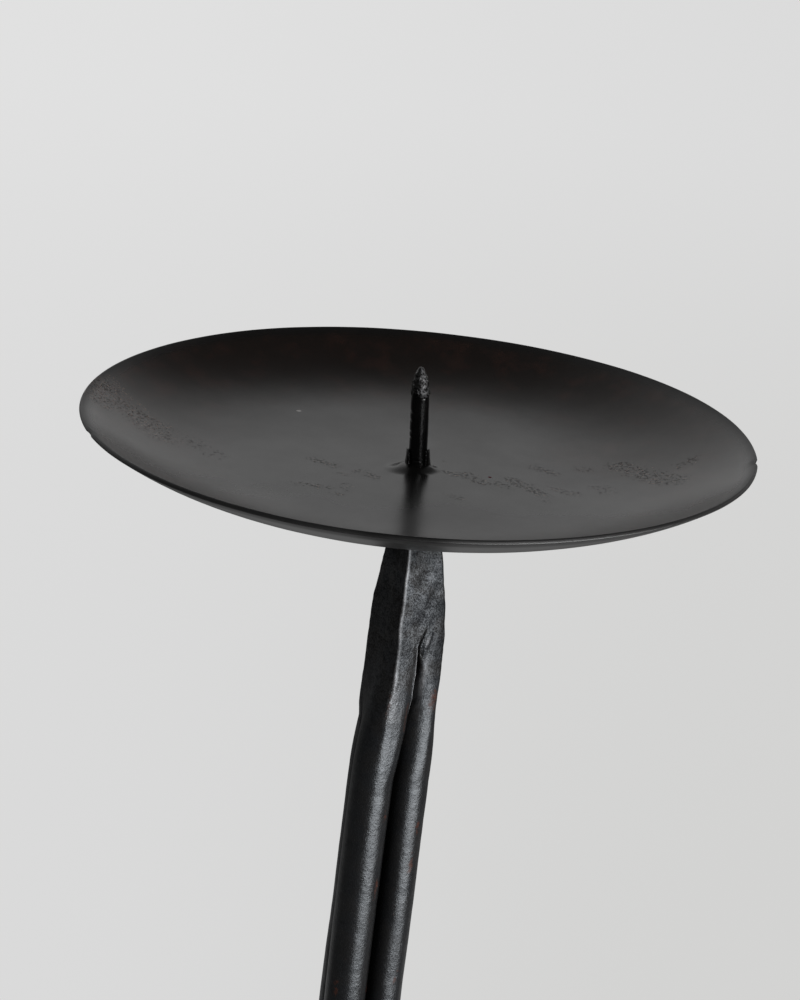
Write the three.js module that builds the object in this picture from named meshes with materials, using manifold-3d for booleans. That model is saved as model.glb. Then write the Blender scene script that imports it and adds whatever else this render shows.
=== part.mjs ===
// A torchere candle stand: three round iron rods bundled into one stem, hammered together into a square
// head at the top, and splayed into three legs at the foot. A shallow pressed drip pan sits on the head,
// and a pricket for the candle stands through the pan, with its tang in the head.
// Millimetres, +Z up. The origin is on the ground, in the middle of the stand's footprint.

import * as THREE from "three";
import { mergeVertices } from "three/addons/utils/BufferGeometryUtils.js";
import Module from "manifold-3d";

const wasm = await Module();
wasm.setup();

// ---------- Driving dimensions, in millimetres and degrees ----------

// The whole stand
const panFloorHeight = 1160; // ground to the level floor of the pan
const footCircleRadius = 197; // stem to the middle of each foot pad
const frontLegAngle = 270; // from +X; the other two legs follow at a third of a turn
const skewAngle = 26; // direction from +X in which the hand-made parts sit a little off the stem's line
const fit = 0.3; // gap that every forged, welded or driven joint leaves between its pieces

// Drip pan
const panRadius = 90;
const panSheet = 1.2;
const panDepth = 13.3; // floor to rim
const panFloorRadius = 28; // the floor is level out to here
const panCurl = 3.2; // power of the wall's curve
const seatRise = 1.2; // the middle is pressed up over the head
const seatRadius = 6.5;
const seatSlopeRadius = 14; // the rise has died away here
const panOffset = -0.65; // along the skew direction

// Burr that was torn up when the pan was pierced
const burrHeight = 3.7; // above the raised middle's underside
const burrWall = 0.65;
const burrPetals = 4;
const burrSlit = 0.9;

// Pricket
const pricketDiameter = 5;
const pricketHeight = 28; // above the pan's floor
const pricketPointLength = 6.5;
const pricketTipDiameter = 0.7;
const pricketTangLength = 26; // below the pan's floor
const pricketLean = 3.4; // away from the skew direction
const pricketOffset = 0.35; // along the skew direction, at the pan's floor

// Rods and stem
const rodDiameter = 12;
const stemBowSlope = 0.045; // how fast the stem leaves its line under the head
const stemBelly = 0.8; // how far the rods stand off from each other, half way down the bundle

// Forged head
const headTopWidth = 9;
const headFullWidth = 16; // at the crotch
const headTaperPower = 1.15;
const headCornerPower = 12; // higher is sharper
const headOffset = 1.05; // along the skew direction
const crotchDepth = 49; // pan floor down to where the rods part
const headLength = 95; // pan floor down to where the rods are round again
const grooveLength = 26; // over which the grooves between the rods reach full depth
const grooveAngle = 20; // how far a full groove's shoulder reaches round the head
const headTurn = 62; // direction from +X of one pair of the head's faces

// Legs
const upperBendRadius = 200;
const upperBendAngle = 60; // from upright
const lowerBendRadius = 130;
const footAngle = 30; // from upright, where the leg meets its pad
const toeLength = 15;

// Collar
const collarHeight = 18;
const collarThickness = 4;
const collarChamfer = 0.8;
const collarSlit = 0.8;
const collarClearance = 3; // above the start of the legs' bend

// Feet
const padRadius = 18;
const padThickness = 5;
const padEdge = 1.4;

// Welds
const panWeldWidth = 3.2;
const footWeldWidth = 3.4;

// Facets
const panSides = 48;
const rodFacets = 12;
const legSteps = 62;
const headFacets = 60;
const headSteps = 19;
const smallFacets = 24;

// ---------- Sizes and places that follow ----------

const rodRadius = rodDiameter / 2;
const pricketRadius = pricketDiameter / 2;
const bundleRadius = (rodDiameter + fit) / Math.sqrt(3);
const legAngles = {
  front: frontLegAngle,
  right: frontLegAngle + 120,
  left: frontLegAngle + 240,
};
const radians = THREE.MathUtils.degToRad;
const stemAxis = new THREE.Vector2(0, footCircleRadius / 4); // puts the footprint's middle at the origin
const skew = new THREE.Vector2(1, 0).rotateAround(new THREE.Vector2(), radians(skewAngle));
const headTop = panFloorHeight + seatRise - panSheet - fit;
const crotchHeight = panFloorHeight - crotchDepth;
const headBottom = panFloorHeight - headLength;
const rodTop = headBottom - fit;
const rodBottom = padThickness + fit;

// A point beside the stem's line: so far along the skew direction, at a height.
function beside(offset, height) {
  return new THREE.Vector3(stemAxis.x + skew.x * offset, stemAxis.y + skew.y * offset, height);
}

function directionOf(angle) {
  return new THREE.Vector3(Math.cos(radians(angle)), Math.sin(radians(angle)), 0);
}

// ---------- Solids ----------

function solidOf(geometry) {
  const bare = new THREE.BufferGeometry();
  bare.setAttribute("position", geometry.getAttribute("position"));
  bare.setIndex(geometry.index);
  const merged = mergeVertices(bare, 1e-4);
  const mesh = new wasm.Mesh({
    numProp: 3,
    vertProperties: merged.getAttribute("position").array,
    triVerts: new Uint32Array(merged.index.array),
  });
  return new wasm.Manifold(mesh);
}

function geometryOf(solid) {
  const mesh = solid.getMesh();
  const geometry = new THREE.BufferGeometry();
  geometry.setAttribute("position", new THREE.BufferAttribute(mesh.vertProperties, 3));
  geometry.setIndex(new THREE.BufferAttribute(mesh.triVerts, 1));
  return geometry;
}

// A solid of revolution about +Z from [radius, height] pairs that run from the axis back to the axis.
function turned(profile, sides) {
  const points = profile.map(([radius, height]) => new THREE.Vector2(radius, height));
  return new THREE.LatheGeometry(points, sides).rotateX(Math.PI / 2);
}

// A cylinder about +Z between two heights.
function drum(radius, bottom, top, sides = smallFacets) {
  const geometry = new THREE.CylinderGeometry(radius, radius, top - bottom, sides);
  return geometry.rotateX(Math.PI / 2).translate(0, 0, (top + bottom) / 2);
}

// A wide slab that keeps what lies between two heights.
function slab(bottom, top) {
  const width = 4 * footCircleRadius;
  return new THREE.BoxGeometry(width, width, top - bottom).translate(0, 0, (top + bottom) / 2);
}

// ---------- Drip pan ----------

// Height of the pan's upper face above its floor.
function panRise(radius) {
  if (radius < seatSlopeRadius) {
    return seatRise * (1 - THREE.MathUtils.smoothstep(radius, seatRadius, seatSlopeRadius));
  }
  const outward = Math.max(0, radius - panFloorRadius) / (panRadius - panFloorRadius);
  return panDepth * outward ** panCurl;
}

// Upright thickness of the sheet, which grows with the wall's slope.
function panThickness(radius) {
  const step = 0.01;
  const slope = (panRise(radius) - panRise(radius - step)) / step;
  return panSheet * Math.hypot(1, slope);
}

function steps(from, to, count) {
  return Array.from({ length: count + 1 }, (_, i) => from + ((to - from) * i) / count);
}

function pricketPlaced(geometry) {
  const leanAxis = new THREE.Vector3(skew.y, -skew.x, 0);
  const place = beside(pricketOffset, panFloorHeight);
  const turn = new THREE.Matrix4().makeRotationAxis(leanAxis, radians(pricketLean));
  return geometry.applyMatrix4(turn).translate(place.x, place.y, place.z);
}

// The torn collar round the pierced hole: a short pipe, split into petals.
function burrSolid() {
  const outer = pricketRadius + fit + burrWall;
  const lip = outer - burrWall / 2;
  const foot = seatRise - panSheet / 2;
  const top = seatRise - panSheet + burrHeight;
  const flare = [[0, foot], [outer + burrWall, foot], [outer, foot + 1], [lip, top], [0, top]];
  let burr = solidOf(pricketPlaced(turned(flare, smallFacets)));
  for (let petal = 0; petal < burrPetals / 2; petal += 1) {
    const slit = new THREE.BoxGeometry(4 * outer, burrSlit, burrHeight);
    slit.translate(0, 0, seatRise + 0.6 + burrHeight / 2);
    slit.rotateZ((petal * 2 * Math.PI) / burrPetals + radians(skewAngle + 40));
    burr = burr.subtract(solidOf(pricketPlaced(slit)));
  }
  return burr;
}

function dripPan() {
  const seatSlope = steps(seatRadius, seatSlopeRadius, 4);
  const wall = steps(panFloorRadius, panRadius, 9);
  const radii = [0, ...seatSlope, ...wall];
  const upper = radii.map((radius) => [radius, panRise(radius)]);
  const lower = radii.map((radius) => [radius, panRise(radius) - panThickness(radius)]);
  const place = beside(panOffset, panFloorHeight);
  const sheet = turned([...lower, ...upper.reverse()], panSides).translate(place.x, place.y, place.z);
  const hole = pricketPlaced(drum(pricketRadius + fit, -2 * panSheet, 2 * burrHeight));
  return geometryOf(solidOf(sheet).add(burrSolid()).subtract(solidOf(hole)));
}

// ---------- Pricket ----------

function pricket() {
  const profile = [
    [0, -pricketTangLength],
    [pricketRadius * 0.8, -pricketTangLength],
    [pricketRadius, 1 - pricketTangLength],
    [pricketRadius, pricketHeight - pricketPointLength],
    [pricketRadius * 0.6, pricketHeight - pricketPointLength / 2],
    [pricketTipDiameter / 2, pricketHeight],
    [0, pricketHeight],
  ];
  return pricketPlaced(turned(profile, smallFacets / 2));
}

// ---------- Stem ----------

// The stem leaves its line under the head and comes back to it at the collar.
function stemBow(height) {
  const span = crotchHeight - collarTop;
  const t = THREE.MathUtils.clamp((crotchHeight - height) / span, 0, 1);
  return -stemBowSlope * span * (t ** 3 - 2 * t ** 2 + t);
}

// How far the rods stand off from each other, on top of their gap, at a height.
function stemOpening(height) {
  const t = THREE.MathUtils.clamp((rodTop - height) / (rodTop - collarTop), 0, 1);
  return stemBelly * Math.sin(Math.PI * t);
}

// How far round a direction is from the nearest rod.
function turnFromRod(angle) {
  const third = radians(120);
  const turns = (angle - radians(frontLegAngle)) / third;
  return (turns - Math.round(turns)) * third;
}

// Distance from the bundle's middle to the outside of the three rods, in one direction.
function bundleOutline(angle) {
  const offLeg = turnFromRod(angle);
  const across = bundleRadius * Math.sin(offLeg);
  if (Math.abs(across) >= rodRadius) {
    return bundleRadius * Math.cos(offLeg);
  }
  return bundleRadius * Math.cos(offLeg) + Math.sqrt(rodRadius ** 2 - across ** 2);
}

// Distance from the head's middle to the outside of a square with softened corners.
function squareOutline(angle, width) {
  const turn = angle - radians(headTurn);
  const power = headCornerPower;
  const spread = Math.abs(Math.cos(turn)) ** power + Math.abs(Math.sin(turn)) ** power;
  return width / 2 / spread ** (1 / power);
}

function headWidth(depth) {
  const taper = Math.min(1, depth / crotchDepth) ** headTaperPower;
  return headTopWidth + (headFullWidth - headTopWidth) * THREE.MathUtils.smoothstep(taper, 0, 1);
}

// The forged head: a square taper down to the crotch, where three grooves start. They deepen and widen
// until the square has turned into three round rods.
function headOutline(angle, depth) {
  const square = squareOutline(angle, headWidth(depth));
  const opened = THREE.MathUtils.smoothstep(depth, crotchDepth, crotchDepth + grooveLength);
  const offGroove = radians(60) - Math.abs(turnFromRod(angle));
  const shoulder = Math.min(1, offGroove / (radians(grooveAngle) * opened + 1e-6));
  const rim = Math.sqrt(1 - (1 - shoulder) ** 2);
  const core = THREE.MathUtils.lerp(square, bundleRadius / 2, opened);
  const split = THREE.MathUtils.lerp(core, square, rim);
  const rounded = THREE.MathUtils.smoothstep(depth, crotchDepth, headLength);
  return THREE.MathUtils.lerp(split, bundleOutline(angle), rounded);
}

function headCentre(height) {
  const joined = THREE.MathUtils.smoothstep(height, headBottom, crotchHeight);
  return beside(stemBow(height) + headOffset * joined, height);
}

function stemHead() {
  const length = headTop - headBottom;
  const blank = new THREE.CylinderGeometry(1, 1, length, headFacets, headSteps).rotateX(Math.PI / 2);
  const points = blank.getAttribute("position");
  const point = new THREE.Vector3();
  for (let i = 0; i < points.count; i += 1) {
    point.fromBufferAttribute(points, i);
    const height = headTop - length / 2 + point.z;
    const angle = Math.atan2(point.y, point.x);
    const reach = Math.hypot(point.x, point.y) > 0.5 ? headOutline(angle, panFloorHeight - height) : 0;
    const centre = headCentre(height);
    points.setXYZ(i, centre.x + reach * Math.cos(angle), centre.y + reach * Math.sin(angle), height);
  }
  const bore = pricketPlaced(drum(pricketRadius + fit, -pricketTangLength - fit, panSheet));
  return geometryOf(solidOf(blank).subtract(solidOf(bore)));
}

// ---------- Legs ----------

const upperTurn = radians(upperBendAngle);
const lowerTurn = radians(footAngle);
const upperBendReach = upperBendRadius * (1 - Math.cos(upperTurn));
const upperBendDrop = upperBendRadius * Math.sin(upperTurn);
const lowerBendReach = lowerBendRadius * (Math.cos(lowerTurn) - Math.cos(upperTurn));
const lowerBendDrop = lowerBendRadius * (Math.sin(upperTurn) - Math.sin(lowerTurn));
const toeReach = toeLength * Math.sin(lowerTurn);
const toeDrop = toeLength * Math.cos(lowerTurn);
const shinReach = footCircleRadius - bundleRadius - upperBendReach - lowerBendReach - toeReach;
const shinDrop = shinReach / Math.tan(upperTurn);
const bendHeight = rodBottom + toeDrop + lowerBendDrop + shinDrop + upperBendDrop;
const collarBottom = bendHeight + collarClearance;
const collarTop = collarBottom + collarHeight;

// A leg's centre line in its own upright plane: x is the distance from the stem, y the height. It runs
// on past both ends of the rod, which is cut level there.
function legProfile() {
  const spare = rodDiameter;
  const knee = new THREE.Vector2(bundleRadius + upperBendReach, bendHeight - upperBendDrop);
  const shin = new THREE.Vector2(knee.x + shinReach, knee.y - shinDrop);
  const ankle = new THREE.Vector2(shin.x + lowerBendReach, shin.y - lowerBendDrop);
  const ankleCentre = new THREE.Vector2(
    shin.x - lowerBendRadius * Math.cos(upperTurn),
    shin.y - lowerBendRadius * Math.sin(upperTurn),
  );
  const path = new THREE.Path();
  path.moveTo(bundleRadius, rodTop + spare);
  path.lineTo(bundleRadius, bendHeight);
  path.absarc(bundleRadius + upperBendRadius, bendHeight, upperBendRadius, Math.PI, Math.PI + upperTurn);
  path.lineTo(shin.x, shin.y);
  path.absarc(ankleCentre.x, ankleCentre.y, lowerBendRadius, upperTurn, lowerTurn, true);
  const toe = toeLength + spare;
  path.lineTo(ankle.x + toe * Math.sin(lowerTurn), ankle.y - toe * Math.cos(lowerTurn));
  return path;
}

class LegLine extends THREE.Curve {
  constructor(angle) {
    super();
    this.outward = directionOf(angle);
    this.profile = legProfile();
  }

  getPoint(t, target = new THREE.Vector3()) {
    const flat = this.profile.getPoint(t);
    const middle = beside(stemBow(flat.y), flat.y);
    return target.copy(middle).addScaledVector(this.outward, flat.x + stemOpening(flat.y));
  }
}

function legRod(angle) {
  const section = new THREE.Shape().absarc(0, 0, rodRadius, 0, 2 * Math.PI);
  const line = new LegLine(angle);
  const rod = new THREE.ExtrudeGeometry(section, {
    extrudePath: line,
    steps: legSteps,
    curveSegments: rodFacets / 2,
    bevelEnabled: false,
  });
  return geometryOf(solidOf(rod).intersect(solidOf(slab(rodBottom, rodTop))));
}

// ---------- Collar ----------

// An outline that wraps the three rods at a distance from their centres.
function wrap(shape, distance) {
  for (const angle of Object.values(legAngles)) {
    const centre = directionOf(angle).multiplyScalar(bundleRadius);
    shape.absarc(centre.x, centre.y, distance, radians(angle - 60), radians(angle + 60));
  }
  shape.closePath();
  return shape;
}

function legCollar() {
  const band = wrap(new THREE.Shape(), rodRadius + fit + collarThickness);
  band.holes.push(wrap(new THREE.Path(), rodRadius + fit));
  const ring = new THREE.ExtrudeGeometry(band, {
    depth: collarHeight - 2 * collarChamfer,
    curveSegments: 5,
    bevelThickness: collarChamfer,
    bevelSize: collarChamfer,
    bevelOffset: -collarChamfer,
    bevelSegments: 1,
  });
  ring.translate(stemAxis.x, stemAxis.y, collarBottom + collarChamfer);
  const reach = 2 * (bundleRadius + rodRadius + collarThickness);
  const slit = new THREE.BoxGeometry(collarSlit, reach, 2 * collarHeight);
  slit.translate(0, reach / 2, 0);
  slit.rotateZ(radians(frontLegAngle - 270));
  slit.translate(stemAxis.x, stemAxis.y, collarBottom);
  return geometryOf(solidOf(ring).subtract(solidOf(slit)));
}

// ---------- Feet ----------

function footCentre(angle) {
  return beside(0, 0).addScaledVector(directionOf(angle), footCircleRadius);
}

function footPad() {
  const profile = [
    [0, 0],
    [padRadius - padEdge, 0],
    [padRadius, padEdge],
    [padRadius, padThickness - padEdge],
    [padRadius - padEdge, padThickness],
    [0, padThickness],
  ];
  return turned(profile, smallFacets);
}

// A leg's last straight, thicker by the gap, over the middle of its pad at the origin.
function toeRoom(angle) {
  const outward = directionOf(angle);
  const room = drum(rodRadius + fit, -2 * rodDiameter, 2 * rodDiameter);
  const leanAxis = new THREE.Vector3(outward.y, -outward.x, 0);
  room.applyMatrix4(new THREE.Matrix4().makeRotationAxis(leanAxis, lowerTurn));
  return room.translate(0, 0, rodBottom);
}

// The bead that runs round the leg where it stands on its pad.
function footWeld(angle) {
  const stretch = 1 / Math.cos(lowerTurn);
  const foot = rodRadius + fit + footWeldWidth;
  const top = rodRadius + footWeldWidth / 4;
  const profile = [[0, 0], [foot, 0], [foot - 0.6, footWeldWidth / 2], [top, footWeldWidth], [0, footWeldWidth]];
  const bead = turned(profile, smallFacets);
  bead.scale(stretch, 1, 1).rotateZ(radians(angle));
  bead.translate(0, 0, rodBottom);
  return geometryOf(solidOf(bead).subtract(solidOf(toeRoom(angle))));
}

// The fillet that holds the pan on the head: it follows the pan's underside and goes round the head.
function panWeld() {
  const inner = headTopWidth / 2;
  const outer = inner * Math.SQRT2 + panWeldWidth;
  const under = (radius) => panRise(radius) - panThickness(radius) - fit;
  const foot = under(outer) - panWeldWidth;
  const roof = steps(inner / 2, outer, 4).map((radius) => [radius, under(radius)]);
  const profile = [[0, foot], [outer - panWeldWidth / 2, foot], ...roof.reverse(), [0, under(0)]];
  const centre = beside(panOffset, panFloorHeight);
  const bead = turned(profile, smallFacets).translate(centre.x, centre.y, centre.z);
  const depth = crotchDepth / 4;
  const taper = headWidth(depth) / headWidth(0);
  const room = new THREE.CylinderGeometry(1, taper, depth, headFacets, 1);
  room.rotateX(Math.PI / 2);
  const points = room.getAttribute("position");
  const middle = headCentre(panFloorHeight);
  for (let i = 0; i < points.count; i += 1) {
    const angle = Math.atan2(points.getY(i), points.getX(i));
    const share = Math.hypot(points.getX(i), points.getY(i));
    const reach = share * (squareOutline(angle, headTopWidth) + fit);
    const height = panFloorHeight + seatRise - depth / 2 + points.getZ(i);
    points.setXYZ(i, middle.x + reach * Math.cos(angle), middle.y + reach * Math.sin(angle), height);
  }
  return geometryOf(solidOf(bead).subtract(solidOf(room)));
}

// ---------- Assembly ----------

const blackenedIron = { color: 0x1b1a19, roughness: 0.42, metalness: 0.85 };
const panIron = { color: 0x1f1d1c, roughness: 0.5, metalness: 0.8 };
const brightIron = { color: 0x0f0f0f, roughness: 0.25, metalness: 0.9 };

const stand = new THREE.Group();

function addPart(name, geometry, finish, parent = stand) {
  const material = new THREE.MeshStandardMaterial(finish);
  const mesh = new THREE.Mesh(geometry, material);
  mesh.name = name;
  parent.add(mesh);
  return mesh;
}

addPart("drip_pan", dripPan(), panIron);
addPart("pricket", pricket(), brightIron);
addPart("pan_weld", panWeld(), blackenedIron);
addPart("stem_head", stemHead(), blackenedIron);
addPart("leg_collar", legCollar(), blackenedIron);

for (const [side, angle] of Object.entries(legAngles)) {
  addPart(`leg_rod_${side}`, legRod(angle), blackenedIron);
  const foot = new THREE.Group();
  foot.position.copy(footCentre(angle));
  stand.add(foot);
  addPart(`foot_pad_${side}`, footPad(), blackenedIron, foot);
  addPart(`foot_weld_${side}`, footWeld(angle), blackenedIron, foot);
}

export default stand;
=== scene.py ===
"""The looks of a torchere candle stand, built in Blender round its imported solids.

The stand is blackened forged iron: a pressed drip pan with a torn burr round its pricket, on a stem of
three bundled rods that are forged square at the head and splay into legs at the foot.

Shapes are worked out in millimetres, in the frame of the solids, and become metres when a mesh is made.
"""

import math
from functools import reduce

import bmesh
import bpy
import numpy as np
from mathutils import Matrix, Vector, noise


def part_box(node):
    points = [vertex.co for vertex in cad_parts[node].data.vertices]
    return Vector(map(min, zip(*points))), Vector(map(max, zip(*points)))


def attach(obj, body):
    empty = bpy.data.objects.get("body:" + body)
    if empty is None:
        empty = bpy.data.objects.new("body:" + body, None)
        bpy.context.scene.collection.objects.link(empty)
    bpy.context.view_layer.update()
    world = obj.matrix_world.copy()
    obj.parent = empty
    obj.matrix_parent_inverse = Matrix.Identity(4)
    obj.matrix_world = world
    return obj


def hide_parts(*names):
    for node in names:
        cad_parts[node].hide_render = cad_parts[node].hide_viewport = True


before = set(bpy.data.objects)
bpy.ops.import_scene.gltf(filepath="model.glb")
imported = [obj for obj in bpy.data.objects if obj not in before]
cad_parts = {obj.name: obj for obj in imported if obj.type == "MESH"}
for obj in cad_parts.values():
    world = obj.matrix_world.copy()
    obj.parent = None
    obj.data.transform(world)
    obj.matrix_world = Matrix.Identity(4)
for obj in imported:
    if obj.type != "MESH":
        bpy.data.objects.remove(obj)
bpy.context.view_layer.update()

MM = 0.001  # metres in a millimetre
BODY = "root"

# ---------- Sizes in millimetres, angles in degrees ----------

SKEW = 26  # direction from +X in which the hand-made parts sit a little off the stem's line
NEAR = SKEW - 90  # direction square to it, towards the viewer of the stand's front

# Drip pan
PAN_SHEET = 1.2
PAN_FLOOR_RADIUS = 28
PAN_CURL = 3.2
SEAT_RISE = 1.25
SEAT_RADIUS = 2.4
SEAT_SLOPE_RADIUS = 7.8
SEAT_BACK_SHARE = 0.03  # of the rise, on its far side
SEAT_TURN = (58, 118)  # how far round from the near side the rise starts and stops falling
SEAT_LEFT_TURN = (34, -12)  # how much further round that lies on the left, by the hole and outside
SEAT_SPREAD = (2.2, 48, 60)  # extra reach on the left: how far, its angle from the near side, half width
PAN_HOLE_RADIUS = 2.55

# Pricket
PRICKET_LEAN = 2.96
PRICKET_OFFSET = 0.18
PRICKET_HEIGHTS = (-22, 0, 4.7, 9, 13, 17, 20.0, 20.6, 21.9, 23.5, 25.6, 27.1, 27.8, 27.9)
PRICKET_RADII = (2.3, 2.46, 2.46, 2.52, 2.50, 2.47, 2.42, 2.52, 2.50, 2.24, 1.64, 0.98, 0.5, 0.2)
POINT_BASE = 20.1  # height at which the shaft ends and the overhanging point starts
NOTCH_HEIGHTS = (15.7, 13.3, 10.1, 8.4)
NOTCH_DEPTH = 0.26
OVERHANG = 0.20
NECK_DEPTH = 0.05
PRICKET_AROUND = 72
PRICKET_RINGS = 260

# Burr
BURR_HEIGHT = 4.5
BURR_WALL = 0.72

# Stem
ROD_DIAMETER = 12
ROD_GAP = 0.3
BOW_SLOPE = 0.045
STEM_SHIFT = 0.22
BELLY = 0.8
BELLY_POWER = 0.75  # below 1 the rods part more quickly under the head
CROTCH_DEPTH = 49
HEAD_LENGTH = 95
HEAD_TOP_WIDTH = 9
HEAD_FULL_WIDTH = 16
HEAD_TAPER_POWER = 1.15
HEAD_CORNER_POWER = 22
HEAD_CORNER_REACH = 0.944  # of a sharp corner's distance from the middle
HEAD_OFFSET = 1.05
HEAD_TURN = 62

# Legs
UPPER_BEND_RADIUS = 200
UPPER_BEND_ANGLE = 60
LOWER_BEND_RADIUS = 130
FOOT_ANGLE = 30
TOE_LENGTH = 15

# Collar and feet
COLLAR_THICKNESS = 4
COLLAR_SLIT = 0.8
COLLAR_EDGE = 1.1  # radius of its edges
PAD_THICKNESS = 5
PAD_EDGE = 1.6
PAN_WELD = 3.2

# ---------- Places that come from the solids ----------


def box_mm(node):
    """A solid's lowest and highest corners, in millimetres."""
    low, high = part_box(node)
    return np.array(low) / MM, np.array(high) / MM


def direction(angle):
    """The level direction at an angle in degrees from +X."""
    turn = math.radians(angle)
    return np.array([math.cos(turn), math.sin(turn), 0.0])


pan_low, pan_high = box_mm("drip_pan")
pan_radius = (pan_high[0] - pan_low[0]) / 2
pan_floor = pan_low[2] + PAN_SHEET
pan_depth = pan_high[2] - pan_floor
pan_middle = np.array([*(pan_low + pan_high)[:2] / 2, pan_floor])

SIDES = ("front", "right", "left")
pad_middles = {side: sum(box_mm(f"foot_pad_{side}")) / 2 for side in SIDES}
stem_axis = sum(pad_middles.values()) / len(SIDES) * np.array([1, 1, 0])
leg_angles = {
    side: math.degrees(math.atan2(*(middle - stem_axis)[1::-1]))
    for side, middle in pad_middles.items()
}
foot_circle = float(np.hypot(*(pad_middles["front"] - stem_axis)[:2]))
pad_radius = float(np.ptp(np.array(box_mm("foot_pad_front"))[:, 0]) / 2)
head_bottom = box_mm("stem_head")[0][2]
collar_bottom, collar_top = (corner[2] for corner in box_mm("leg_collar"))
rod_top = box_mm("leg_rod_front")[1][2]
rod_bottom = box_mm("leg_rod_front")[0][2]

rod_radius = ROD_DIAMETER / 2
bundle_radius = (ROD_DIAMETER + ROD_GAP) / math.sqrt(3)
crotch = pan_floor - CROTCH_DEPTH
skew = direction(SKEW)
back = direction(NEAR + 180)  # level, away from the viewer


def beside(offset, height):
    """A point off the stem's line along the skew direction, at a height."""
    return stem_axis + skew * offset + np.array([0, 0, height])


# ---------- Curves of numbers ----------


def smoothstep(value, low, high):
    t = np.clip((np.asarray(value, float) - low) / (high - low), 0, 1)
    return t * t * (3 - 2 * t)


def lerp(a, b, share):
    return a + (b - a) * share


def bump_at(value, middle, width):
    """1 at the middle, falling smoothly to 0 at a width away from it."""
    return fade(np.abs(value - middle), 0, width)


def fade(value, low, high):
    """1 up to a low value, falling smoothly to 0 at a high one."""
    return 1 - smoothstep(value, low, high)


def band(value, start, full, last, end):
    """1 between two values, falling smoothly to 0 at one outside each."""
    return smoothstep(value, start, full) * fade(value, last, end)


def off_angle(angle, degrees):
    """How far an angle is past one given in degrees, in degrees from -180 to 180."""
    return (np.degrees(angle) - degrees + 180) % 360 - 180


def near_angle(angle, degrees, half):
    """1 at an angle given in degrees, falling smoothly to 0 at half a width to either side."""
    return bump_at(off_angle(angle, degrees), 0, half)


def most(*values):
    """The highest of several arrays or numbers, point by point."""
    return reduce(np.maximum, values)


def grain(points, size, seed):
    """Smooth noise from -1 to 1 whose lumps are about a size across."""
    shift = Vector((seed * 17.3, seed * 5.1, seed * 9.7))
    flat = points.reshape(-1, 3)
    values = [noise.noise(Vector(p) / size + shift) for p in flat]
    return np.array(values).reshape(points.shape[:-1])


def hammered(points, size, seed):
    """Overlapping shallow dents about a size across: 0 in a dent's middle, 1 on the ridges between."""
    shift = Vector((seed * 7.9, seed * 3.3, seed * 11.1))
    flat = points.reshape(-1, 3)
    values = [min(1.0, noise.voronoi(Vector(p) / size + shift)[0][0] * 1.4) for p in flat]
    return np.array(values).reshape(points.shape[:-1]) ** 2


# ---------- Meshes ----------


def add_object(name, data):
    made = bpy.data.objects.new(name, data)
    bpy.context.scene.collection.objects.link(made)
    return made


def make_piece(name, points, faces, slot, marks, replaces=()):
    """A shaded mesh object from an array of points in millimetres that rides with the stand.

    Its marks are numbers or arrays that fit the points.
    """
    mesh = bpy.data.meshes.new(name)
    mesh.from_pydata((points.reshape(-1, 3) * MM).tolist(), [], faces)
    work = bmesh.new()
    work.from_mesh(mesh)
    bmesh.ops.recalc_face_normals(work, faces=work.faces)
    work.to_mesh(mesh)
    work.free()
    mesh.polygons.foreach_set("use_smooth", [len(face) == 4 for face in faces])
    for mark, values in marks.items():
        layer = mesh.attributes.new(mark, "FLOAT", "POINT")
        spread = np.broadcast_to(values, points.shape[:-1])
        layer.data.foreach_set("value", spread.astype(np.float32).ravel())
    mesh.materials.append(irons[slot])
    piece = add_object(name, mesh)
    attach(piece, BODY)
    if replaces:
        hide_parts(*replaces)


def skin_faces(rings, around, closed=False):
    """Quads over rings of points, with a fan's worth of cap at each end unless the rings close."""
    faces = []
    for ring in range(rings if closed else rings - 1):
        here, there = ring * around, (ring + 1) % rings * around
        for i in range(around):
            j = (i + 1) % around
            faces.append((here + i, here + j, there + j, there + i))
    if not closed:
        faces.append(tuple(range(around)))
        faces.append(tuple(range((rings - 1) * around, rings * around)))
    return faces


def skin(name, rings, slot, marks, replaces, closed=False):
    """A piece over an array of rings: ring, point round the ring, x y z."""
    make_piece(name, rings, skin_faces(*rings.shape[:2], closed), slot, marks, replaces)


def iron_marks(forged, rust, edge=0, crinkle=0, painted_shade=0):
    """The marks that a piece of stem iron carries."""
    return {"forged": forged, "rust": rust, "edge": edge, "crinkle": crinkle, "painted_shade": painted_shade}


def around_circle(count):
    """Angles round a circle, in radians."""
    return np.linspace(0, 2 * np.pi, count, endpoint=False)


def level_units(angle):
    """Level vectors a millimetre long, at angles in radians from +X."""
    return np.stack([np.cos(angle), np.sin(angle), 0 * angle], 1)


# ---------- Materials ----------


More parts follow.
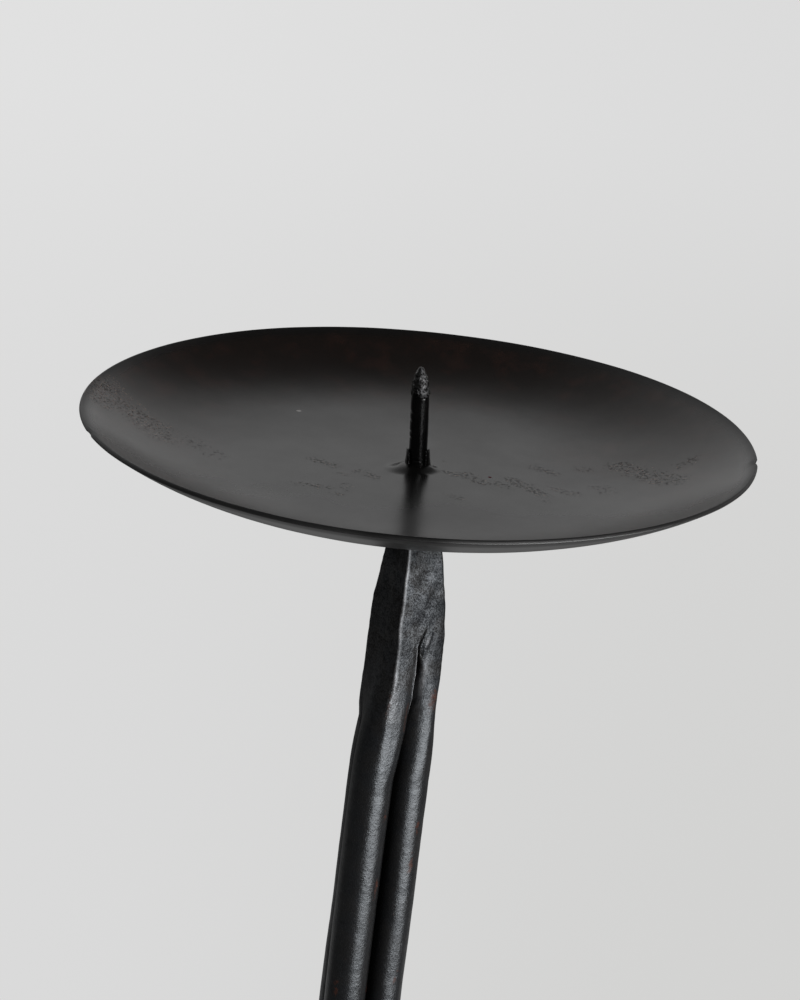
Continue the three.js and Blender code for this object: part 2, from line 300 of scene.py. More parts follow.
class Nodes:
    """Short calls for building the node tree of a material or a world."""

    def __init__(self, owner):
        owner.use_nodes = True
        self.tree = owner.node_tree
        self.tree.nodes.clear()

    def add(self, kind, inputs=None, **settings):
        node = self.tree.nodes.new(kind)
        for key, value in settings.items():
            setattr(node, key, value)
        for key, value in (inputs or {}).items():
            self.feed(node.inputs[key], value)
        return node

    def feed(self, socket, value):
        if isinstance(value, bpy.types.NodeSocket):
            self.tree.links.new(value, socket)
        else:
            socket.default_value = value
    def math(self, operation, a, b):
        return self.add("ShaderNodeMath", {0: a, 1: b}, operation=operation).outputs[0]

    def times(self, a, b):
        return self.math("MULTIPLY", a, b)

    def plus(self, a, b):
        return self.math("ADD", a, b)

    def minus(self, a, b):
        return self.math("SUBTRACT", a, b)

    def rest(self, share):
        """What a share leaves of 1."""
        return self.math("SUBTRACT", 1.0, share)

    def most(self, a, b):
        return self.math("MAXIMUM", a, b)

    def vector_math(self, operation, a, b=(0, 0, 0)):
        """A vector, or a number from an operation that gives one."""
        node = self.add("ShaderNodeVectorMath", {0: a, 1: b}, operation=operation)
        gives_number = operation in ("DISTANCE", "DOT_PRODUCT", "LENGTH")
        return node.outputs["Value" if gives_number else "Vector"]

    def ramp(self, value, low, high, out_low=0.0, out_high=1.0):
        """A smooth step from one value to another."""
        inputs = {"Value": value, 1: low, 2: high, 3: out_low, 4: out_high}
        node = self.add("ShaderNodeMapRange", inputs, interpolation_type="SMOOTHSTEP")
        return node.outputs["Result"]

    def blend(self, share, a, b):
        node = self.add("ShaderNodeMix", {0: share, 6: a, 7: b}, data_type="RGBA")
        return node.outputs[2]

    def coats(self, colour, *coats):
        """A colour with others laid over it in turn, each with its share."""
        for share, coat in coats:
            colour = self.blend(share, colour, coat)
        return colour

    def noise(self, size, detail=3.0, rough=0.55):
        """Noise from 0 to 1 with lumps about a size across, in millimetres."""
        inputs = {"Vector": self.place, "Scale": 1 / (size * MM), "Detail": detail, "Roughness": rough}
        return self.add("ShaderNodeTexNoise", inputs).outputs["Fac"]

    def patches(self, size, detail, rough, low, high):
        """Patches about a size across, 0 between them, that cover less the higher both levels are."""
        return self.ramp(self.noise(size, detail, rough), low, high)

    def mark(self, name):
        """A value that the mesh holds at each of its points."""
        return self.add("ShaderNodeAttribute", attribute_name=name).outputs["Fac"]

    def relief(self, *layers):
        """The normal over layers of relief, each a height from 0 to 1 and its depth in millimetres."""
        inputs = {"Strength": 1.0}
        for height, depth in layers:
            inputs.update({"Height": height, "Distance": depth * MM})
            inputs["Normal"] = self.add("ShaderNodeBump", inputs).outputs["Normal"]
        return inputs["Normal"]

    def mix_shader(self, share, a, b):
        return self.add("ShaderNodeMixShader", {0: share, 1: a, 2: b}).outputs[0]

    def light_path(self, ray):
        """1 on a kind of ray, 0 on the others."""
        return self.add("ShaderNodeLightPath").outputs[ray]


def srgb(*display):
    """A linear colour from 8-bit display values."""
    shares = [value / 255 for value in display]
    linear = [c / 12.92 if c <= 0.04045 else ((c + 0.055) / 1.055) ** 2.4 for c in shares]
    return (*linear, 1.0)


BLACK = (0.0028, 0.0027, 0.0027, 1.0)
BLACK_WORN = (0.0065, 0.0062, 0.0060, 1.0)
BROWN_BLACK = (0.0135, 0.0074, 0.0050, 1.0)
BLUE_BLACK = (0.0035, 0.0037, 0.0042, 1.0)
# Near-black for painted shade on the stem: its grooves, creases and the head's top under the pan.
SHADE_BLACK = (0.0009, 0.0009, 0.0009, 1.0)
RUST = (0.036, 0.0145, 0.0100, 1.0)
RUST_DARK = (0.034, 0.014, 0.0095, 1.0)
# Pale grey for worn metal on the stem's edges that is also a painted highlight, and for painted
# highlights on the pricket's point.
BARE_AND_HIGHLIGHT_GREY = (0.19, 0.19, 0.197, 1.0)
# Grey for a painted highlight down the pricket's shaft.
SHAFT_HIGHLIGHT_GREY = (0.022, 0.022, 0.023, 1.0)
SCALE_GREY = (0.0085, 0.0092, 0.0106, 1.0)
SCALE_BROWN = (0.0102, 0.0089, 0.0082, 1.0)
DUST_PALE = (0.55, 0.53, 0.51, 1.0)
DUST_RED = (0.10, 0.012, 0.02, 1.0)
DUST_TAN = (0.26, 0.16, 0.11, 1.0)
# Specks of dust on the pan: place across and back from its middle, radius, colour, how dull.
SPECKS = ((-34.2, 38.3, 0.9, DUST_PALE, 0.2), (20.4, -3.8, 0.75, DUST_RED, 1.0))

# Specular level, and the lowest and highest roughness, of each iron.
PAN_SHINE = 0.47
PAN_SHINE_MARRED = 0.06
PAN_ROUGHNESS = (0.21, 0.25)
STEM_SHINE = 0.53
STEM_ROUGHNESS = (0.25, 0.29)
STEM_TINT = (0.88, 0.94, 1.0, 1.0)  # a cool cast on what the bar mirrors
PRICKET_SHINE = 0.5
PRICKET_ROUGHNESS = (0.16, 0.24)


def iron_material(name, inputs_for):
    material = bpy.data.materials.new(name)
    nodes = Nodes(material)
    nodes.place = nodes.add("ShaderNodeTexCoord").outputs["Object"]
    shader = nodes.add("ShaderNodeBsdfPrincipled", inputs_for(nodes))
    nodes.add("ShaderNodeOutputMaterial", {"Surface": shader.outputs["BSDF"]})
    return material


def speck_share(nodes, across, beyond, radius):
    """1 on a round speck of the pan, 0 beside it."""
    spot = pan_middle + skew * across + back * beyond
    flat = nodes.vector_math("MULTIPLY", nodes.place, (1, 1, 0))
    away = nodes.vector_math("DISTANCE", flat, (spot[0] * MM, spot[1] * MM, 0))
    return nodes.ramp(away, radius * 0.5 * MM, radius * MM, 1.0, 0.0)


def flecks(nodes, size, amount, low, high):
    """Torn little flecks about a size across, the more of them the higher an amount from 0 to 1."""
    wanted = nodes.times(nodes.minus(amount, 1.0), 0.12)
    seen = nodes.ramp(nodes.plus(nodes.noise(size, 3, 0.6), wanted), low, high)
    return nodes.times(seen, nodes.ramp(amount, 0.02, 0.2))


def satin(nodes, cloud, lowest, highest):
    """Roughness that drifts between two values as a cloud of noise does."""
    return nodes.ramp(cloud, 0.3, 0.7, lowest, highest)


def pan_inputs(nodes):
    """Satin black patina on sheet, with pitted patches, flaked scuffs and a little rust up the wall."""
    cloud = nodes.noise(22, 4)
    pitting, scuff, wall, near = map(nodes.mark, ("pitting", "scuff", "wall", "near"))
    pits = flecks(nodes, 0.7, pitting, 0.55, 0.60)
    cracks = flecks(nodes, 0.9, scuff, 0.52, 0.58)
    marred = nodes.most(pits, cracks)
    # pale flecks on scuffs and pits are real wear; along the ridge line they are a painted highlight
    bared = nodes.most(scuff, nodes.most(pitting, nodes.mark("pale")))
    pale = nodes.times(flecks(nodes, 0.85, bared, 0.54, 0.61), nodes.rest(marred))
    colour = nodes.coats(
        BLACK,
        (cloud, BLACK_WORN),
        (wall, BROWN_BLACK),
        (nodes.times(nodes.patches(8, 5, 0.6, 0.47, 0.7), wall), RUST_DARK),
        (nodes.times(nodes.patches(2.2, 4, 0.6, 0.42, 0.62), pitting), RUST),
        (nodes.times(pale, 0.4), DUST_TAN),
    )
    lost = nodes.plus(pits, nodes.times(cracks, 0.8))
    shine = nodes.ramp(lost, 0, 1, PAN_SHINE, PAN_SHINE_MARRED)
    shine = nodes.plus(shine, nodes.ramp(nodes.noise(5, 5, 0.65), 0.35, 0.65, -0.025, 0.025))
    shine = nodes.plus(shine, nodes.times(nodes.mark("rubbed"), 0.08))
    shine = nodes.plus(shine, nodes.times(near, 0.08))
    # painted shade: the rim's near part loses its shine
    shine = nodes.times(shine, nodes.rest(nodes.mark("rim_painted_shade")))
    for across, beyond, radius, shade, dullness in SPECKS:
        share = speck_share(nodes, across, beyond, radius)
        colour = nodes.blend(share, colour, shade)
        shine = nodes.times(shine, nodes.rest(nodes.times(share, dullness)))
    dull = nodes.plus(nodes.times(nodes.mark("rim"), 0.2), nodes.times(near, 0.07))
    worn = nodes.times(nodes.noise(1.2, 3, 0.6), nodes.most(pitting, scuff))
    return {
        "Base Color": colour,
        "Specular IOR Level": shine,
        "Roughness": nodes.plus(satin(nodes, cloud, *PAN_ROUGHNESS), dull),
        "Normal": nodes.relief(
            (nodes.noise(0.5, 3, 0.6), 0.005),
            (nodes.noise(9, 2), 0.02),
            (worn, 0.022),
            (nodes.rest(marred), 0.03),
        ),
    }


def stem_inputs(nodes):
    """Waxed black bar: grey and grainy where hammered, bright on its edges with wear and painted
    highlights, rusty in places, and darkened by painted shade in grooves, creases and under the pan.
    """
    forged, edge, painted_shade = map(nodes.mark, ("forged", "edge", "painted_shade"))
    cloud, fine, mottle = nodes.noise(15, 4), nodes.noise(0.5, 2, 0.6), nodes.noise(1.9, 3, 0.6)
    wanted = nodes.times(nodes.minus(nodes.mark("rust"), 1.0), 0.45)
    rust = nodes.ramp(nodes.plus(nodes.noise(1.8, 5, 0.65), wanted), 0.34, 0.54)
    colour = nodes.coats(
        nodes.blend(cloud, BLUE_BLACK, BLACK_WORN),
        (forged, nodes.blend(nodes.patches(6, 3, 0.55, 0.42, 0.58), SCALE_BROWN, SCALE_GREY)),
        (rust, RUST),
        # worn metal that is also a painted highlight, pale grey where the edge mark lies
        (nodes.times(edge, nodes.ramp(mottle, 0.3, 0.6, 0.35, 1.0)), BARE_AND_HIGHLIGHT_GREY),
        # painted shade: near-black where the painted_shade mark lies
        (nodes.times(painted_shade, 0.85), SHADE_BLACK),
    )
    rough = nodes.plus(satin(nodes, cloud, *STEM_ROUGHNESS), nodes.times(forged, 0.17))
    patchy = nodes.plus(nodes.times(fine, 0.62), nodes.times(mottle, 0.38))
    dusted = nodes.times(forged, nodes.rest(edge))
    dull = nodes.times(dusted, nodes.ramp(patchy, 0.38, 0.62, 0.42, -0.10))
    smudge = nodes.ramp(nodes.noise(3, 5, 0.7), 0.50, 0.66, 0.0, 0.17)
    smudge = nodes.times(smudge, nodes.rest(forged))
    shine = nodes.minus(STEM_SHINE, nodes.plus(dull, smudge))
    shine = nodes.times(shine, nodes.rest(nodes.times(rust, 0.45)))
    # the painted shade also takes away shine
    shine = nodes.times(shine, nodes.rest(nodes.times(painted_shade, 0.88)))
    return {
        "Base Color": colour,
        "Specular IOR Level": shine,
        "Specular Tint": STEM_TINT,
        "Roughness": nodes.minus(rough, nodes.times(edge, 0.12)),
        "Normal": nodes.relief(
            (nodes.times(fine, nodes.plus(nodes.times(forged, 0.85), 0.15)), 0.15),
            (mottle, 0.09),
            (nodes.noise(5, 2), 0.09),
            (nodes.times(nodes.noise(1.0, 2, 0.5), nodes.mark("crinkle")), 0.5),
        ),
    }


def pricket_inputs(nodes):
    """Black, glossy with wax and use, crinkled at the point, with a painted grey highlight down one side
    of the shaft and painted bright highlights on the point.
    """
    cloud, crinkle = nodes.noise(3, 3), nodes.mark("crinkle")
    colour = nodes.coats(
        BLACK,
        (cloud, BLACK_WORN),
        # painted highlights: a grey strip down the shaft's lit side, pale patches on the point
        (nodes.times(nodes.mark("shaft_highlight"), nodes.patches(0.8, 3, 0.6, 0.38, 0.6)), SHAFT_HIGHLIGHT_GREY),
        (nodes.times(nodes.mark("point_highlight"), nodes.patches(0.9, 3, 0.6, 0.44, 0.58)), BARE_AND_HIGHLIGHT_GREY),
    )
    rough = satin(nodes, cloud, *PRICKET_ROUGHNESS)
    return {
        "Base Color": colour,
        "Specular IOR Level": PRICKET_SHINE,
        "Roughness": nodes.minus(rough, nodes.times(crinkle, 0.07)),
        "Normal": nodes.relief(
            (nodes.noise(0.6, 3, 0.6), 0.02),
            (nodes.times(nodes.noise(0.6, 1, 0.5), crinkle), 0.45),
        ),
    }


# The material for each slot.
irons = {
    "pan_iron": iron_material("pan_patina", pan_inputs),
    "stem_iron": iron_material("forged_bar", stem_inputs),
    "pricket_iron": iron_material("pricket_gloss", pricket_inputs),
}

# ---------- Drip pan ----------

PAN_AROUND = 300
PAN_RIM_STEPS = 9
PAN_LIFT = 0.14
PAN_WAVES = ((1, 35, 0.12), (2, 134, 0.10), (3, -28, 0.14), (4, 108, 0.16))  # times round, phase, height
PAN_FLAT = (222, 42, 0.5)  # where the rim was pressed in: its angle, half width in degrees, and depth

# Strokes of wear on the pan: from and to, each across and back from its middle; half width and strength.
PITTED = (
    (-86, 12, -86, 0, 5, 1.0),
    (-81, 6, -71, 3, 6, 0.85),
    (-74, 0, -67, -5, 5, 0.8),
)
SCUFFED = (
    (-61, 0, -53, -8, 4, 0.35),
    (-27.4, -1.7, -21.2, -5.8, 1.6, 1.0),
    (-14.7, -8.2, -10.2, -11.9, 1.8, 1.0),
    (-20, -11.5, -17, -12, 1.4, 0.7),
    (-30, -22.3, -22, -23.9, 1.5, 0.9),
    (-20.5, -27.5, -18.5, -28, 1.3, 0.85),
    (-17.2, -20, -16.7, -25, 1.8, 0.5),
    (8.2, 6.3, 9.2, 5.2, 1.0, 0.9),
    (8, -1.9, 11, -4.4, 1.5, 0.95),
    (13.2, -3, 18, -8.3, 2.6, 1.0),
    (9.3, -20.3, 13, -23.3, 1.5, 0.8),
    (22, -8, 25, -10, 2.0, 0.8),
    (26.4, -4.4, 33.9, -13.8, 2.6, 1.0),
    (34.5, -19.3, 36, -20, 1.0, 0.8),
    (32.6, 8.3, 38.2, 3.8, 2.0, 0.8),
    (37.5, -8.8, 43, -12, 1.8, 0.85),
    (50, -6, 52, -9, 3.0, 0.6),
    (45.3, 9.3, 46.5, 8.5, 2.4, 0.6),
    (56.6, 11.3, 69.1, -3.9, 4.5, 0.85),
    (72.1, 6.7, 75.9, 9.3, 2.0, 0.8),
)
# A painted highlight: a line of pale flecks where a ridge on the pan's left wall catches the light.
RIDGE_HIGHLIGHT_LINE = ((-86, 19, -74, 11, 1.6, 1.0),)
STAINED = (
    (48, 21, 69, 5, 13, 1.0),
    (-20, 62, 20, 66, 15, 0.8),
    (-50, 45, -70, 30, 12, 0.7),
)
# Painted shade on the rim's near part, where the head's dark top lies behind it.
RIM_SHADE_SHARE = 0.62  # how much of the rim's shine the painted shade takes, where it is nearest
# Radii between which the wall's and the rim's marks come in, and where the wall's go out again.
WALL_BAND = (45, 80, 86, 89)
RIM_BAND = (87.5, 89.3)
RIM_SHADE_BAND = (87.6, 89.2)
NICK_BAND = (87.5, 89.5)
# Distances back from the pan's middle over which its near side's two marks fade.
RUBBED_REACH = (-25, 20)
NEAR_REACH = (-45, -14)
# Nicks in the rim: angle, half width in degrees, depth.
PAN_NICKS = ((19.6, 1.5, 0.7), (228.6, 1.8, 0.4))


def pan_rise(radius):
    """Height of the pan's upper face above its floor."""
    wall = np.clip(radius - PAN_FLOOR_RADIUS, 0, None) / (pan_radius - PAN_FLOOR_RADIUS)
    return pan_depth * wall**PAN_CURL


def seat_rise(radius, angle):
    """Height of the swelling round the pricket's hole, which is lower on its far side."""
    off = off_angle(angle, NEAR)
    past = np.abs(off) - lerp(*SEAT_LEFT_TURN, smoothstep(radius, 3.4, 5.8)) * (off < 0)
    rise = SEAT_RISE * lerp(1, SEAT_BACK_SHARE, smoothstep(past, *SEAT_TURN))
    reach, turn, half = SEAT_SPREAD
    spread = reach * near_angle(angle, NEAR - turn, half)
    return rise * fade(radius, SEAT_RADIUS, SEAT_SLOPE_RADIUS + spread)


def pan_profile():
    """Radius and height of the sheet's section, from the hole out under the pan and back over it."""
    near = np.linspace(PAN_HOLE_RADIUS, SEAT_SLOPE_RADIUS + 2, 22)
    far = np.linspace(SEAT_SLOPE_RADIUS + 4, pan_radius - PAN_SHEET * 0.3, 52)
    radius = np.concatenate([near, far])
    height = pan_rise(radius)
    slope = np.gradient(height, radius)
    lean = np.arctan(slope)
    upper = np.stack([radius, height], 1)
    inward = np.stack([np.sin(lean), -np.cos(lean)], 1)
    lower = upper + inward * PAN_SHEET
    last = (upper[-1] + lower[-1]) / 2
    turn = np.linspace(0, np.pi, PAN_RIM_STEPS + 2)[1:-1]
    along = np.array([math.cos(lean[-1]), math.sin(lean[-1])])
    blunt = [math.copysign(abs(math.cos(t)) ** 0.6, math.cos(t)) for t in turn]
    out = [math.sin(t) ** 0.6 for t in turn]
    lip = [last + PAN_SHEET / 2 * (inward[-1] * b + along * o) for b, o in zip(blunt, out)]
    return np.concatenate([lower, lip, upper[::-1]])


def stroked(rings, strokes):
    """How far each point of the pan lies inside some soft-edged strokes, from 0 to 1."""
    flat = rings - pan_middle
    places = np.stack([flat @ skew, flat @ back], 2)
    total = np.zeros(rings.shape[:2])
    for *ends, half, strength in strokes:
        start, end = np.array(ends[:2]), np.array(ends[2:])
        span = end - start
        share = np.clip((places - start) @ span / (span @ span), 0, 1)
        away = np.linalg.norm(places - start - share[..., None] * span, axis=2)
        total = np.maximum(total, strength * fade(away, half * 0.5, half * 1.3))
    return total


def build_pan():
    profile = pan_profile()
    angle = around_circle(PAN_AROUND)
    radius = profile[:, :1]
    outer = np.clip(radius / pan_radius, 0, 1) ** 3
    where, half, depth = PAN_FLAT
    reach = radius - depth * near_angle(angle, where, half) * outer
    for nick, half, depth in PAN_NICKS:
        reach = reach - depth * near_angle(angle, nick, half) * smoothstep(radius, *NICK_BAND)
    hole = beside(PRICKET_OFFSET, pan_floor) - pan_middle
    pull = fade(radius, PAN_HOLE_RADIUS, SEAT_SLOPE_RADIUS)
    x = pan_middle[0] + reach * np.cos(angle) + hole[0] * pull
    y = pan_middle[1] + reach * np.sin(angle) + hole[1] * pull
    waves = [height * np.cos(times * angle + math.radians(phase)) for times, phase, height in PAN_WAVES]
    z = pan_floor + profile[:, 1:] + (PAN_LIFT + sum(waves)) * outer + seat_rise(radius, angle)
    rings = np.stack([x, y, z], 2)
    rings[..., 2] += 0.05 * grain(rings, 13, 1) * smoothstep(radius, 8, 20)
    top = (np.arange(len(profile)) > len(profile) / 2)[:, None]
    beyond = (rings - pan_middle) @ back
    # painted shade on the rim's near part, towards the viewer
    rim_shade_spread = fade(abs(off_angle(angle, NEAR - 1)), 4, 9)
    marks = {
        "pitting": stroked(rings, PITTED) * top,
        "scuff": stroked(rings, SCUFFED) * top,
        # painted highlight along a ridge, with the real scuffs
        "pale": stroked(rings, RIDGE_HIGHLIGHT_LINE) * top,
        "wall": most(band(radius, *WALL_BAND), stroked(rings, STAINED)) * top,
        "rim": smoothstep(radius, *RIM_BAND),
        "rubbed": fade(beyond, *RUBBED_REACH),
        "near": fade(beyond, *NEAR_REACH),
        "rim_painted_shade": RIM_SHADE_SHARE * smoothstep(radius, *RIM_SHADE_BAND) * rim_shade_spread,
    }
    skin("pan_sheet", rings, "pan_iron", marks, ["drip_pan"], closed=True)


# ---------- Pricket and burr ----------


def leaned(points):
    """Points about an upright axis through the origin, set up on the pricket's leaning axis."""
    lean = math.radians(PRICKET_LEAN)
    along = points @ skew
    across = points - np.multiply.outer(along, skew)
    upright = points[..., 2]
    turned = across + np.multiply.outer(along * math.cos(lean) - upright * math.sin(lean), skew)
    turned[..., 2] = upright * math.cos(lean) + along * math.sin(lean)
    return turned + beside(PRICKET_OFFSET, pan_floor)


def build_pricket():
    angle = around_circle(PRICKET_AROUND)
    height = np.linspace(PRICKET_HEIGHTS[0], PRICKET_HEIGHTS[-1], PRICKET_RINGS)[:, None]
    width = np.interp(height, PRICKET_HEIGHTS, PRICKET_RADII)
    overhang = bump_at(height, POINT_BASE + 1.1, 1.3) * near_angle(angle, SKEW, 75)
    neck = bump_at(height, POINT_BASE - 0.4, 0.5)
    width = width + OVERHANG * overhang - NECK_DEPTH * neck
    for notch in NOTCH_HEIGHTS:
        width = width - NOTCH_DEPTH * bump_at(height, notch, 0.5) * near_angle(angle, SKEW + 180, 80)
    unit = level_units(angle)
    rings = width[..., None] * unit
    rings[..., 2] = height
    crinkled = band(height, POINT_BASE - 1, POINT_BASE + 1, 26.2, 27.4)
    relief = 0.05 * grain(rings * [1, 1, 0.7], 1.7, 3) + crinkled * 0.16 * grain(rings, 0.9, 4)
    relief += crinkled * 0.20 * (hammered(rings, 1.6, 5) - 0.5)
    rings += relief[..., None] * unit
    # painted highlights: a grey strip down the shaft's lit side, pale patches on the point
    marks = {
        "crinkle": crinkled,
        "shaft_highlight": near_angle(angle, NEAR + 20, 19) * fade(height, 18.7, 19.7),
        "point_highlight": near_angle(angle, NEAR + 24, 44) * smoothstep(height, 19.9, 20.5),
    }
    skin("pricket_spike", leaned(rings), "pricket_iron", marks, ["pricket"])


# Middle, half width and height of each torn petal, round from the skew direction, in degrees and shares.
BURR_PETALS = ((-14, 44, 1.0), (84, 36, 0.75), (184, 46, 1.0), (272, 34, 0.42))


def burr_petal(middle, half, tall):
    """A curved tongue of sheet, thick at its root and torn thin at its tip."""
    across, up = 13, 12
    share = np.linspace(-1, 1, across)
    rise = np.linspace(0, 1, up)[:, None]
    angle = np.radians(SKEW + middle + half * share * (1 - 0.3 * rise))
    edge = 1 - 0.25 * np.abs(share) ** 3
    top = SEAT_RISE - PAN_SHEET / 2 + BURR_HEIGHT * tall * edge
    height = lerp(-PAN_SHEET / 3, top, rise)
    wall = BURR_WALL * (1 - 0.3 * rise)
    inner = PAN_HOLE_RADIUS + 0.1 + 0.5 * rise**2 * (1 - tall)
    root = (0.8 if middle > 90 else 0.45) * (1 - rise) ** 3
    faces = []
    for reach in (inner, inner + wall + root):
        ones = np.ones_like(angle)
        face = np.stack([reach * np.cos(angle), reach * np.sin(angle), height * ones], 2)
        face[..., 2] += 0.18 * grain(face, 0.8, middle + 2) * rise
        faces.append(face)
    return np.concatenate([faces[0], faces[1][:, ::-1]], axis=1)


def build_burr():
    points, faces = [], []
    for middle, half, tall in BURR_PETALS:
        rings = burr_petal(middle, half, tall)
        start = sum(len(petal) for petal in points)
        points.append(leaned(rings).reshape(-1, 3))
        faces += [tuple(start + i for i in face) for face in skin_faces(*rings.shape[:2])]
    marks = {"crinkle": 0.25, "shaft_highlight": 0, "point_highlight": 0}
    make_piece("pan_burr", np.concatenate(points), faces, "pricket_iron", marks)


# ---------- Stem ----------


def stem_bow(height):
    """How far the stem's line is off its axis, along the skew direction, at a height."""
    span = crotch - collar_top
    t = np.clip((crotch - np.asarray(height, float)) / span, 0, 1)
    return STEM_SHIFT * (1 - t) - BOW_SLOPE * span * (t**3 - 2 * t**2 + t)


def stem_opening(height):
    """How far each rod stands off the bundle's middle, on top of its place there."""
    t = np.clip((rod_top - np.asarray(height, float)) / (rod_top - collar_top), 0, 1)
    return BELLY * np.sin(np.pi * t**BELLY_POWER)


def off_leg(angle):
    """How far an angle is past the nearest leg's direction, in radians."""
    third = 2 * np.pi / 3
    turns = (angle - math.radians(leg_angles["front"])) / third
    return (turns - np.round(turns)) * third


def bundle_outline(angle):
    """Distance from the bundle's middle to the outside of the rods."""
    off = off_leg(angle)
    across = bundle_radius * np.sin(off)
    return bundle_radius * np.cos(off) + np.sqrt(np.clip(rod_radius**2 - across**2, 0, None))


def bundle_hull(angle):
    """Distance from the bundle's middle to a band drawn tight round the rods."""
    off_groove = np.pi / 3 - np.abs(off_leg(angle))
    flat = (bundle_radius / 2 + rod_radius) / np.cos(off_groove)
    touch = math.atan2(bundle_radius * math.sqrt(3) / 2, bundle_radius / 2 + rod_radius)
    return np.where(off_groove < touch, flat, bundle_outline(angle))


def flank_painted_shade(angle):
    """Painted shade: 1 deep in the grooves between the rods, 0 on the open side of each rod."""
    off = np.abs(off_leg(angle))
    turned = off + np.arcsin(np.clip(bundle_radius * np.sin(off) / rod_radius, 0, 1))
    return smoothstep(np.degrees(turned), 75, 135)


def square_outline(angle, width, turn):
    """Distance from the head's middle to a square's sides, with its corners a little round."""
    power = HEAD_CORNER_POWER
    spread = np.abs(np.cos(angle - turn)) ** power + np.abs(np.sin(angle - turn)) ** power
    corner = HEAD_CORNER_REACH * 2 ** (1 / power)
    return width / 2 * corner / spread ** (1 / power)


# The grooves between the rods: angle, depth under the pan where each starts, length over which it opens.
FRONT_GROOVE = (330, 44, 38)
GROOVES = (FRONT_GROOVE, (90, 49, 34), (210, 66, 25))
# The front groove's hooked top: depths under the pan and how far round it wanders there, in degrees.
HOOK_DEPTHS = (44, 46, 48, 50, 54, 58, 66, 76, 84, 91)
HOOK_WANDER = (11, 6, 0, -4, -1, 4, 10.5, 10, 6, 0)
# Where the head is fuller or flatter as it parts into rods: angle, half width, how much at each depth.
FILLED_DEPTHS = (44, 52, 60, 66, 72, 76, 84, 92)
HEAD_FILLED = (
    (10, 60, (0, 0.33, 0.34, 0.20, 0.05, 0, 0, 0)),
    (348, 34, (0, 0, 0.16, 0.42, 0.56, 0.52, 0.34, 0)),
    (19, 26, (0, 0, -0.05, -0.22, -0.26, -0.22, -0.20, 0)),
    (206, 50, (0, -0.05, -0.08, 0.08, 0.26, 0.12, 0, 0)),
    (178, 30, (0, 0, 0, 0, 0, -0.22, -0.22, 0)),
    (302, 20, (0, 0, 0.16, 0.24, 0.20, 0.08, 0, 0)),
)
# The front groove's trench: its depth at the top and lower down, its reach to the left, and its reach to
# the right at the top and lower down. Reaches are in degrees.
TRENCH_DEPTH = (0.5, 1.5)
TRENCH_LEFT = 3.2
TRENCH_RIGHT = (3.5, 12.5)
LIP_OFF = -4.2  # where the lip's crest stands beside the groove's line, in degrees
# Knob and pit by the groove's top: height, place past the groove's line, half width, depth, half length.
HOOK_KNOBS = ((0.55, 14, 10, 49, 4.5), (-0.5, 8, 4, 52.3, 1.2))
# Folds across the face: angle and depth at either end, half width and height in millimetres.
FOLDS = (
    (2, 33, 316, 43, 1.9, -0.26),
    (350, 39, 335, 44, 1.2, 0.24),
    (348, 26, 318, 31, 2.0, -0.20),
    (355, 30, 330, 38, 1.7, 0.18),
    (338, 14, 314, 22, 2.2, -0.18),
    (5, 12, 345, 20, 2.0, 0.16),
)


def off_front_groove(angle, depth):
    """How far an angle is past the front groove's line, which wanders at its top."""
    return off_angle(angle, FRONT_GROOVE[0] + np.interp(depth, HOOK_DEPTHS, HOOK_WANDER))


def front_groove_cut(angle, depth):
    """Height that the front groove's hooked top, sharp lip and rounded shoulder add to the head."""
    off = off_front_groove(angle, depth)
    begun = band(depth, 43, 46, 62, 80)
    widened = smoothstep(depth, 50, 57)
    left = np.clip(1 + off / TRENCH_LEFT, 0, 1)
    right = fade(off / lerp(*TRENCH_RIGHT, widened), 0.3 * widened, 1)
    total = -lerp(*TRENCH_DEPTH, smoothstep(depth, 46, 57)) * begun * np.where(off < 0, left, right)
    lipped = band(depth, 48, 53, 70, 80)
    total = total + (0.40 * bump_at(off, LIP_OFF, 2.8) - 0.32 * bump_at(off, -9.5, 3.2)) * lipped
    for height, place, half, middle, tall in HOOK_KNOBS:
        total = total + height * bump_at(off, place, half) * bump_at(depth, middle, tall)
    return total


def fold_relief(angle, depth):
    """Shallow creases and swellings that run slantwise down the head's right face."""
    total = 0
    for angle_a, depth_a, angle_b, depth_b, half, height in FOLDS:
        turn = (angle_b - angle_a + 180) % 360 - 180
        arm = math.radians(1) * HEAD_FULL_WIDTH / 2
        span = np.array([turn * arm, depth_b - depth_a])
        x, y = off_angle(angle, angle_a) * arm, depth - depth_a
        share = np.clip((x * span[0] + y * span[1]) / (span @ span), 0, 1)
        away = np.hypot(x - share * span[0], y - share * span[1])
        total = total + height * bump_at(away, 0, half * 1.6)
    return total


def head_twist(depth):
    """How far the square head is turned off its line at a depth, as its corners waver."""
    return 0.016 * np.sin(depth / 4.3) + 0.010 * np.sin(depth / 1.9 + 1) - 0.032 * bump_at(depth, 37, 17)


def face_shade(angle, depth):
    """Painted shade on the head: how much it takes under the pan, over its right face's middle, and where
    its right side turns away above the groove.
    """
    under_pan = 0.55 * fade(depth, 24, 29)
    middle = 0.28 * band(depth, 31, 37, 50, 57)
    side = 0.6 * band(depth, 32, 38, 56, 66)
    return most(under_pan, middle, side * near_angle(angle, 11, 27))


